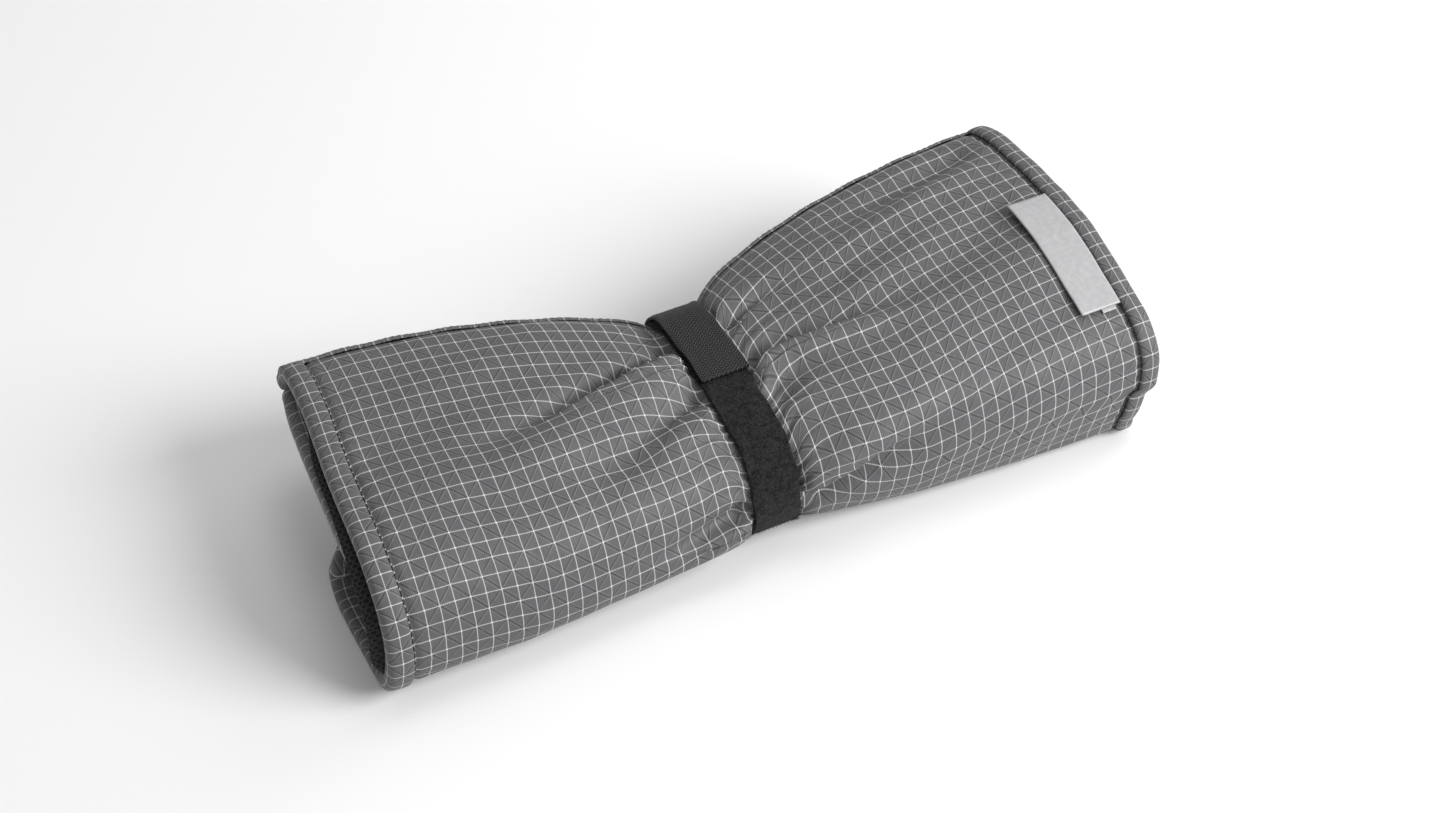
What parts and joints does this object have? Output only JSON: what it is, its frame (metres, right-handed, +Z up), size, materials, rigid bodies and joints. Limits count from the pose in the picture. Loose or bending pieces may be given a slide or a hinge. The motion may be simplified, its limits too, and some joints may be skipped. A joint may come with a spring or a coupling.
{
  "type": "rolled camp organiser mat",
  "caption": "Padded ripstop camp mat with a mesh lining, rolled flat and pinched at the waist by a hook-and-loop strap with a peeling tab.",
  "frame": {"origin": "middle of the roll's footprint, on the surface that it rests on", "axes": "+X along the roll towards the labelled end, +Y towards the back where the free flap edge lies, +Z up"},
  "size_m": [0.2662, 0.11, 0.0551],
  "materials": {
    "ripstop": "mid-dark grey ripstop with a fine white square grid every 5 mm, slight satin",
    "foam": "light grey wadding",
    "mesh": "black knitted mesh with hexagonal holes",
    "sewing_thread": "dark grey sewing thread",
    "loop_pile": "black fuzzy loop pile, matte",
    "hook_webbing": "black woven back of hook tape, fine herringbone",
    "label_satin": "silver-grey woven satin, plain",
    "tag_weave": "white woven tag with a plain red edge stripe"
  },
  "bodies": {
    "roll": {"ripstop_skin": "ripstop", "foam_sheet": "foam", "mesh_lining": "mesh", "left_end_binding": "ripstop", "right_end_binding": "ripstop", "flap_edge_binding": "ripstop", "inner_edge_binding": "ripstop", "left_seam_thread": "sewing_thread", "right_seam_thread": "sewing_thread", "strap_loop_band": "loop_pile", "strap_hook_root": "hook_webbing", "strap_box_stitch": "sewing_thread"},
    "strap_tab": {"strap_hook_tab": "hook_webbing"},
    "label": {"woven_label": "label_satin", "side_tag": "tag_weave"}
  },
  "joints": [
    {"name": "strap_tab_peel", "type": "hinge", "parent": "roll", "child": "strap_tab", "pos_m": [0, 0.01685, 0.04461], "axis": [-1, 0, 0], "range_deg": [0, 110]},
    {"name": "label_flip", "type": "hinge", "parent": "roll", "child": "label", "pos_m": [0.12435, -0.01029, 0.05425], "axis": [0, 0.9911, 0.1331], "range_deg": [0, 120]}
  ]
}
